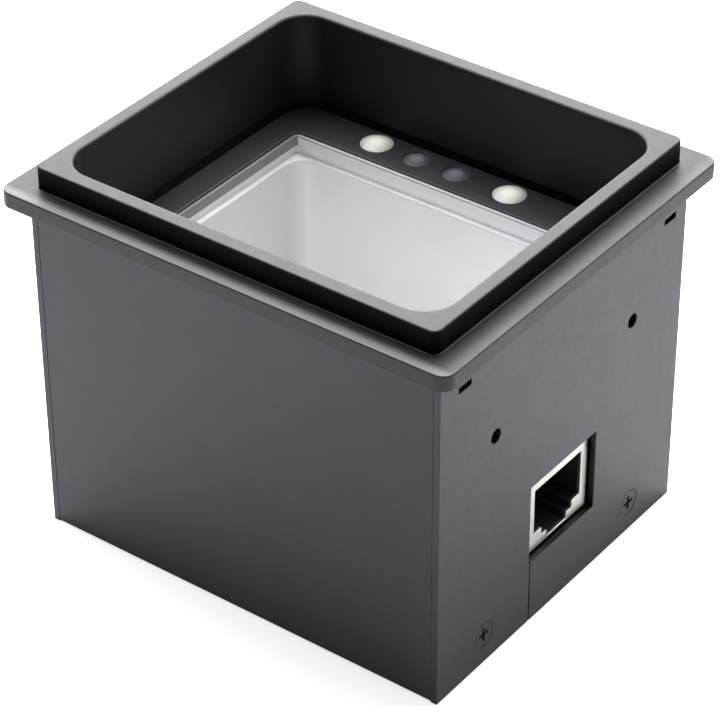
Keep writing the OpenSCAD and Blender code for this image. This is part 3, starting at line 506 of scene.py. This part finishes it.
def smooth_group():
    """Geometry nodes that shade smooth and keep edges over SMOOTH_ANGLE sharp."""
    group = bpy.data.node_groups.new("smooth_by_angle", "GeometryNodeTree")
    group.interface.new_socket("Geometry", in_out="INPUT", socket_type="NodeSocketGeometry")
    group.interface.new_socket("Geometry", in_out="OUTPUT", socket_type="NodeSocketGeometry")
    start = group.nodes.new("NodeGroupInput")
    end = group.nodes.new("NodeGroupOutput")
    faces = group.nodes.new("GeometryNodeSetShadeSmooth")
    faces.domain = "FACE"
    sharp = group.nodes.new("GeometryNodeSetShadeSmooth")
    sharp.domain = "EDGE"
    sharp.inputs["Shade Smooth"].default_value = False
    angle = group.nodes.new("GeometryNodeInputMeshEdgeAngle")
    over = group.nodes.new("FunctionNodeCompare")
    over.operation = "GREATER_THAN"
    over.inputs[1].default_value = SMOOTH_ANGLE
    link = group.links.new
    link(start.outputs[0], faces.inputs[0])
    link(faces.outputs[0], sharp.inputs[0])
    link(angle.outputs["Unsigned Angle"], over.inputs[0])
    link(over.outputs[0], sharp.inputs["Selection"])
    link(sharp.outputs[0], end.inputs[0])
    return group


SMOOTH = smooth_group()


def shade(obj):
    """Smooth shading with flat faces kept flat."""
    obj.modifiers.new("smooth", "NODES").node_group = SMOOTH
    weighted = obj.modifiers.new("weighted", "WEIGHTED_NORMAL")
    weighted.keep_sharp = True
    weighted.weight = 60


def refine(obj, width):
    """Rounds the edges of a CAD node without touching its own mesh."""
    obj.modifiers.new("weld", "WELD").merge_threshold = MERGE_M
    flat = obj.modifiers.new("flat", "DECIMATE")
    flat.decimate_type = "DISSOLVE"
    flat.angle_limit = FLAT_ANGLE
    if width:
        bevel = obj.modifiers.new("bevel", "BEVEL")
        bevel.width = width * MM
        bevel.segments = 3
        bevel.limit_method = "ANGLE"
        bevel.angle_limit = SMOOTH_ANGLE
        bevel.use_clamp_overlap = False
        bevel.miter_outer = "MITER_ARC"
    shade(obj)


def add_mesh(name, bm, look):
    """Turns a bmesh in millimetres into a shown piece that rides on the housing."""
    bmesh.ops.scale(bm, vec=(MM, MM, MM), verts=bm.verts)
    bmesh.ops.recalc_face_normals(bm, faces=bm.faces)
    mesh = bpy.data.meshes.new(name)
    bm.to_mesh(mesh)
    bm.free()
    obj = bpy.data.objects.new(name, mesh)
    bpy.context.scene.collection.objects.link(obj)
    mesh.materials.append(LOOKS[look])
    shade(obj)
    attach(obj, "housing")
    return obj


def box_into(bm, low, high, bevel):
    """Adds a box, its edges rounded, to a bmesh."""
    made = bmesh.ops.create_cube(bm, size=1)["verts"]
    size = [h - l for l, h in zip(low, high)]
    centre = [(l + h) / 2 for l, h in zip(low, high)]
    bmesh.ops.scale(bm, vec=size, verts=made)
    bmesh.ops.translate(bm, vec=centre, verts=made)
    edges = list(dict.fromkeys(e for v in made for e in v.link_edges))
    bmesh.ops.bevel(bm, geom=edges, offset=bevel, segments=2, profile=0.5, affect="EDGES",
                    clamp_overlap=True)


def lathe_into(bm, profile, x, y, steps):
    """Turns (radius, height) points round the upright axis at (x, y), closed where radius is 0."""
    rings = []
    for radius, height in profile:
        if radius < TINY:
            rings.append([bm.verts.new((x, y, height))])
            continue
        turns = [math.tau * i / steps for i in range(steps)]
        rings.append([bm.verts.new((x + radius * math.cos(a), y + radius * math.sin(a), height))
                      for a in turns])
    for a, b in zip(rings, rings[1:]):
        for i in range(steps):
            j = (i + 1) % steps
            corners = []
            for vert in (a[i % len(a)], a[j % len(a)], b[j % len(b)], b[i % len(b)]):
                if vert not in corners:
                    corners.append(vert)
            if len(corners) > 2:
                bm.faces.new(corners)


# Bezel -------------------------------------------------------------------------------------------

CORNER_STEPS = 12
FILLET_STEPS = 5


def ring_points(width, depth, radius, z, shift_y):
    """A rectangle with round corners at height z, as a closed list of points."""
    points = []
    for quarter, (sx, sy) in enumerate(((1, 1), (-1, 1), (-1, -1), (1, -1))):
        for i in range(CORNER_STEPS + 1):
            a = math.radians(90 * (quarter + i / CORNER_STEPS))
            points.append((sx * (width / 2 - radius) + radius * math.cos(a),
                           sy * (depth / 2 - radius) + radius * math.sin(a) + shift_y, z))
    return points


def stepped(section, towards, length):
    """The section moved by length towards its neighbour: up, down, outwards or inwards."""
    least_radius = 0.05
    width, depth, radius, z, shift_y = section
    if abs(towards[3] - z) > TINY:
        return (width, depth, radius, z + math.copysign(length, towards[3] - z), shift_y)
    out = math.copysign(length, towards[0] - width)
    return (width + 2 * out, depth + 2 * out, max(radius + out, least_radius), z, shift_y)


def filleted(sections):
    """Rounds each corner of a closed run of sections by the fillet given with it."""
    rings = []
    count = len(sections)
    for i, (section, fillet) in enumerate(sections):
        before, after = sections[i - 1][0], sections[(i + 1) % count][0]
        if not fillet:
            rings.append(section)
            continue
        a = stepped(section, before, fillet)
        b = stepped(section, after, fillet)
        for k in range(FILLET_STEPS + 1):
            t = math.pi / 2 * k / FILLET_STEPS
            rings.append(tuple(m + (p - m) * (1 - math.sin(t)) + (q - m) * (1 - math.cos(t))
                               for m, p, q in zip(section, a, b)))
    return rings


def span(node):
    """A node's lowest and highest corners in millimetres."""
    return tuple(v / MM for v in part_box(node))


def build_bezel():
    """The moulding as one closed run of round-cornered rings, in place of the plain solid.

    A section is (width, depth, corner radius, height, shift in Y), and the number after it is the
    radius of its edge."""
    low, high = span("top_bezel")
    foot, top = low.z, high.z
    flange_top = top - COLLAR_H
    flange_under = flange_top - FLANGE_T
    flange = (high.x - low.x, high.y - low.y, 2.2)
    collar = (75.9, 66.0, 1.4)
    skirt = (75.4, 63.9, 1.0)
    groove_h, groove_deep = 0.9, 0.4  # the shadow groove at the foot of the well
    groove = (WELL[0] + 2 * groove_deep, WELL[1] + 2 * groove_deep, WELL[2] + groove_deep)
    groove_top = span("window_deck")[1].z + groove_h
    opening = (65.0, 58.25, 3.0)
    opening_shift = 0.975
    ledge = span("deck_seal")[0].z
    sections = [
        ((*skirt, foot, 0), 0.3),
        ((*skirt, flange_under, 0), 0),
        ((*flange, flange_under, 0), 0.2),
        ((*flange, flange_top, 0), 0.3),
        ((*collar, flange_top, 0), 0.2),
        ((*collar, top, 0), 0.35),
        ((*WELL, top, 0), 0.6),
        ((*WELL, groove_top, 0), 0.1),
        ((*groove, groove_top, 0), 0),
        ((*groove, ledge, 0), 0),
        ((*opening, ledge, opening_shift), 0),
        ((*opening, foot, opening_shift), 0.3),
    ]
    bm = bmesh.new()
    rings = [[bm.verts.new(p) for p in ring_points(*section)] for section in filleted(sections)]
    for a, b in zip(rings, rings[1:] + rings[:1]):
        for i in range(len(a)):
            j = (i + 1) % len(a)
            bm.faces.new((a[i], a[j], b[j], b[i]))
    add_hooks(bm, skirt[0] / 2, skirt[1] / 2, flange_under)
    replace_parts(add_mesh("bezel_moulding", bm, "bezel"), "top_bezel")


def add_hooks(bm, skirt_x, skirt_y, flange_under):
    """The snap hooks on the skirt's sides, which stand in the side plates' slots."""
    length, height, reach, root = 2.8, 0.8, 0.8, 1.0
    drop, from_front, from_back = 5.3, 4.85, 3.45
    z = flange_under - drop
    for side in (-1, 1):
        x0, x1 = sorted((side * (skirt_x - root), side * (skirt_x + reach)))
        for y in (from_front - skirt_y, skirt_y - from_back):
            box_into(bm, (x0, y - length / 2, z - height / 2),
                     (x1, y + length / 2, z + height / 2), 0.2)


build_bezel()


# Lenses ------------------------------------------------------------------------------------------

def dome_profile(radius, foot, edge, rise):
    """A straight foot and a round dome, from the bottom middle to the top middle."""
    steps, chamfer = 14, 0.15
    ball = (radius * radius + rise * rise) / (2 * rise)
    points = [(0, foot), (radius - chamfer, foot), (radius, foot + chamfer), (radius, edge)]
    reach = math.asin(min(1.0, radius / ball))
    for i in range(1, steps + 1):
        a = reach * (1 - i / steps)
        across = ball * math.sin(a) if i < steps else 0
        points.append((across, edge + rise - ball * (1 - math.cos(a))))
    return points


def end_places(node):
    """The centres of the two pieces at the ends of a row node, each as wide as the node is deep."""
    low, high = span(node)
    half = (high.y - low.y) / 2
    return [(low.x + half, low.y + half), (high.x - half, low.y + half)], half


def build_lenses(node, name, rise, look):
    """Domed lenses in place of a node's plain ones. rise is how high the dome stands."""
    places, radius = end_places(node)
    low, high = span(node)
    bm = bmesh.new()
    for x, y in places:
        lathe_into(bm, dome_profile(radius, low.z, high.z - rise, rise), x, y, 64)
    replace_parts(add_mesh(name, bm, look), node)


build_lenses("light_lenses", "light_lens_domes", 0.6, "light_lenses")
build_lenses("sensor_lenses", "sensor_lens_domes", 0.4, "sensor_lenses")


# Small details on the boards ---------------------------------------------------------------------

def lead_into(bm, x, y, foot, top, turn, width):
    """A gull-wing lead that leaves a chip's side at (x, y), bends down and lies on the board."""
    thick, out, slant, toe = 0.12, 0.45, 0.1, 0.55
    side = [(0, top), (out, top), (out + slant, foot + thick), (out + toe, foot + thick),
            (out + toe, foot), (out, foot), (out - thick, top - thick), (0, top - thick)]
    spin = Matrix.Rotation(turn, 3, "Z")
    rings = []
    for across in (-width / 2, width / 2):
        rings.append([bm.verts.new(Vector((x, y, 0)) + spin @ Vector((u, across, v)))
                      for u, v in side])
    bm.faces.new(rings[0][::-1])
    bm.faces.new(rings[1])
    for i in range(len(side)):
        j = (i + 1) % len(side)
        bm.faces.new((rings[0][i], rings[0][j], rings[1][j], rings[1][i]))


def build_leads(name, node, pitch, width, sides):
    """Rows of leads along the given sides of a chip. Sides are angles in quarter turns from +X."""
    # Length of a side without leads, depth of a lead in the chip, and where it leaves the side
    bare, sunk, start = 1.2, 0.02, 0.45
    low, high = span(node)
    middle = (low + high) / 2
    half = (high - low) / 2
    bm = bmesh.new()
    for quarter in sides:
        run, reach = (half.y, half.x) if quarter % 2 == 0 else (half.x, half.y)
        count = int((2 * run - bare) / pitch)
        turn = quarter * math.pi / 2
        for i in range(count + 1):
            along = (i - count / 2) * pitch
            at = middle + Matrix.Rotation(turn, 3, "Z") @ Vector((reach - sunk, along, 0))
            lead_into(bm, at.x, at.y, low.z, low.z + start * (high.z - low.z), turn, width)
    add_mesh(name, bm, "socket_metal")


def build_phosphor(name, places, top, size):
    """The yellow window in the top of each LED."""
    sunk, proud, half = 0.02, 0.06, size / 2
    bm = bmesh.new()
    for x, y in places:
        box_into(bm, (x - half, y - half, top - sunk), (x + half, y + half, top + proud), 0.03)
    add_mesh(name, bm, "led_phosphor")


def ring_places():
    """The places of the ring light's LEDs, from the outer size of their node."""
    count, led_w = 8, 2.8
    low, high = span("ring_light_leds")
    step = 360 / count
    radius = (high.x - low.x - led_w) / 2 / math.cos(math.radians(step / 2))
    turns = [math.radians(step / 2 + step * i) for i in range(count)]
    return [(radius * math.cos(t), radius * math.sin(t)) for t in turns]


def build_pads():
    """Tinned feet of the storage capacitors, the power inductor and the crystal."""
    bm = bmesh.new()
    low, high = span("storage_capacitors")
    foot, pad_in, pad_out, pad_half, pad_t = 6.6, 0.6, 0.7, 0.5, 0.15
    for x, y in ((high.x - foot / 2, low.y + foot / 2), (low.x + foot / 2, high.y - foot / 2)):
        for side in (-1, 1):
            x0, x1 = sorted((x + side * (foot / 2 - pad_in), x + side * (foot / 2 + pad_out)))
            box_into(bm, (x0, y - pad_half, low.z), (x1, y + pad_half, low.z + pad_t), 0.05)
    half, thick = 1.0, 0.18
    for node, reach in (("power_inductor", 0.35), ("crystal_can", 0.3)):
        low, high = span(node)
        y = (low.y + high.y) / 2
        for x in (low.x, high.x):
            box_into(bm, (x - reach, y - half, low.z), (x + reach, y + half, low.z + thick), 0.06)
    add_mesh("tinned_feet", bm, "socket_metal")


build_leads("processor_leads", "processor_chip", 0.8, 0.32, (0, 1, 2, 3))
build_leads("memory_leads", "memory_chip", 0.8, 0.32, (1, 3))
build_leads("transformer_leads", "network_transformer", 1.27, 0.5, (1, 3))
build_phosphor("ring_phosphor", ring_places(), span("ring_light_leds")[1].z, 1.9)
build_phosphor("row_phosphor", end_places("lens_row_leds")[0], span("lens_row_leds")[1].z, 2.4)
build_pads()


# CAD nodes with rounded edges --------------------------------------------------------------------

EDGE_WIDTH = {  # how wide each node's edges are rounded. 0 leaves them as they are
    "wrap_shell": 0.09, "right_plate": 0.09, "left_plate": 0.09, "window_deck": 0.18,
    "window_glass": 0.12, "light_box": 0.12, "deck_seal": 0.05, "glass_tape": 0.05,
    "socket_shell": 0.12, "socket_insert": 0.12, "socket_contacts": 0.06, "side_screws": 0.08,
    "base_screws": 0.08, "board_screws": 0.12, "board_standoffs": 0.15, "lens_row_screws": 0.1,
    "light_box_screws": 0.1, "ring_light_screws": 0.1, "camera_screws": 0.1, "lens_set_screw": 0.06,
    "lens_row_board": 0.08, "main_board": 0.08, "camera_board": 0.08, "ring_light_board": 0.08,
    "lens_row_leds": 0.12, "lens_row_sensors": 0.1, "ring_light_leds": 0.1, "harness_plug": 0.15,
    "harness_socket": 0.12, "harness_wires": 0.0, "ring_light_header": 0.1, "ring_light_pins": 0.08,
    "camera_spacers": 0.12, "image_sensor": 0.08, "sensor_cover_glass": 0.05, "lens_holder": 0.2,
    "lens_barrel": 0.1, "lens_front_element": 0.0, "lens_rear_element": 0.0, "camera_ribbon": 0.04,
    "camera_ribbon_socket": 0.08, "camera_ribbon_latch": 0.06, "main_ribbon_socket": 0.08,
    "main_ribbon_latch": 0.06, "processor_chip": 0.12, "memory_chip": 0.1, "chip_capacitors": 0.07,
    "crystal_can": 0.2, "power_inductor": 0.35, "storage_capacitors": 0.25,
    "network_transformer": 0.2, "buzzer": 0.3,
}
for node, width in EDGE_WIDTH.items():
    part = frame["nodes"][node]
    part.data.materials.clear()
    part.data.materials.append(LOOKS[SLOT_OF[node]])
    if "custom_normal" in part.data.attributes:
        part.data.attributes.remove(part.data.attributes["custom_normal"])
    refine(part, width)


# Studio ------------------------------------------------------------------------------------------

def plane(name, size, matrix, mat):
    """A square that belongs to the studio and not to the part."""
    mesh = bpy.data.meshes.new(name)
    h = size / 2
    mesh.from_pydata([(-h, -h, 0), (h, -h, 0), (h, h, 0), (-h, h, 0)], [], [(0, 1, 2, 3)])
    obj = bpy.data.objects.new(name, mesh)
    bpy.context.scene.collection.objects.link(obj)
    obj.matrix_world = matrix
    mesh.materials.append(mat)
    obj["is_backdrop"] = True
    return obj


def floor_look():
    """A plain pale floor, lifted towards white for the camera only."""
    look = Look("floor")
    tone = look.spread(look.noise(60, 2), 0, 1)
    base = look.mix(tone, (FLOOR_ALBEDO,) * 3, (FLOOR_ALBEDO * 0.985,) * 3)
    seen = look.add("ShaderNodeLightPath").outputs["Is Camera Ray"]
    return look.finish(Base_Color=base, Roughness=0.9, Specular_IOR_Level=0.2,
                       Emission_Color=(1, 1, 1),
                       Emission_Strength=look.math("MULTIPLY", seen, FLOOR_LIFT))


def glow_look(name, radiance):
    look = Look(name)
    shine = look.add("ShaderNodeEmission", {"Color": (1, 1, 1, 1), "Strength": radiance}).outputs[0]
    look.tree.links.new(shine, look.out.inputs["Surface"])
    return look.mat


def build_studio():
    """The floor, the two panels, and a world that is white to the camera and dim to the part."""
    low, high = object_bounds()
    centre = (low + high) / 2
    plane("floor", FLOOR_SIZE, Matrix.Translation((0, 0, low.z)), floor_look())
    for name, direction, distance, size, radiance in (
            ("key", KEY_DIRECTION, KEY_DISTANCE, KEY_SIZE, KEY_RADIANCE),
            ("side", SIDE_DIRECTION, SIDE_DISTANCE, SIDE_SIZE, SIDE_RADIANCE)):
        turn = direction.to_track_quat("Z", "Y").to_matrix().to_4x4()
        place = Matrix.Translation(centre + direction * distance) @ turn
        panel = plane(name + "_panel", size, place, glow_look(name + "_glow", radiance))
        panel.visible_camera = False
    world = bpy.data.worlds.new("studio")
    bpy.context.scene.world = world
    world.use_nodes = True
    nodes, links = world.node_tree.nodes, world.node_tree.links
    nodes.clear()
    out = nodes.new("ShaderNodeOutputWorld")
    seen = nodes.new("ShaderNodeBackground")
    seen.inputs["Color"].default_value = (1, 1, 1, 1)
    fill = nodes.new("ShaderNodeBackground")
    fill.inputs["Strength"].default_value = FILL_RADIANCE
    path = nodes.new("ShaderNodeLightPath")
    mix = nodes.new("ShaderNodeMixShader")
    links.new(path.outputs["Is Camera Ray"], mix.inputs[0])
    links.new(fill.outputs[0], mix.inputs[1])
    links.new(seen.outputs[0], mix.inputs[2])
    links.new(mix.outputs[0], out.inputs["Surface"])


def build_camera():
    """A camera at the photo's viewing angle, turned by VIEW_ROLL about the way it looks."""
    low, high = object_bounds()
    aim = (low + high) / 2 + AIM_SHIFT
    az, el = VIEW_AZIMUTH, VIEW_ELEVATION
    back = Vector((math.sin(az) * math.cos(el), -math.cos(az) * math.cos(el), math.sin(el)))
    right = Vector((math.cos(az), math.sin(az), 0))
    up = back.cross(right)
    c, s = math.cos(VIEW_ROLL), math.sin(VIEW_ROLL)
    rolled_right, rolled_up = right * c + up * s, up * c - right * s
    data = bpy.data.cameras.new("view")
    data.lens = VIEW_LENS
    data.sensor_fit = "HORIZONTAL"
    data.sensor_width = VIEW_SENSOR
    data.clip_start = 0.01
    camera = bpy.data.objects.new("view", data)
    bpy.context.scene.collection.objects.link(camera)
    turn = Matrix((rolled_right, rolled_up, back)).transposed().to_4x4()
    camera.matrix_world = Matrix.Translation(aim + back * VIEW_DISTANCE) @ turn
    bpy.context.scene.camera = camera


build_studio()
build_camera()
bpy.context.scene.view_settings.view_transform = "Standard"
bpy.context.scene.view_settings.look = "None"
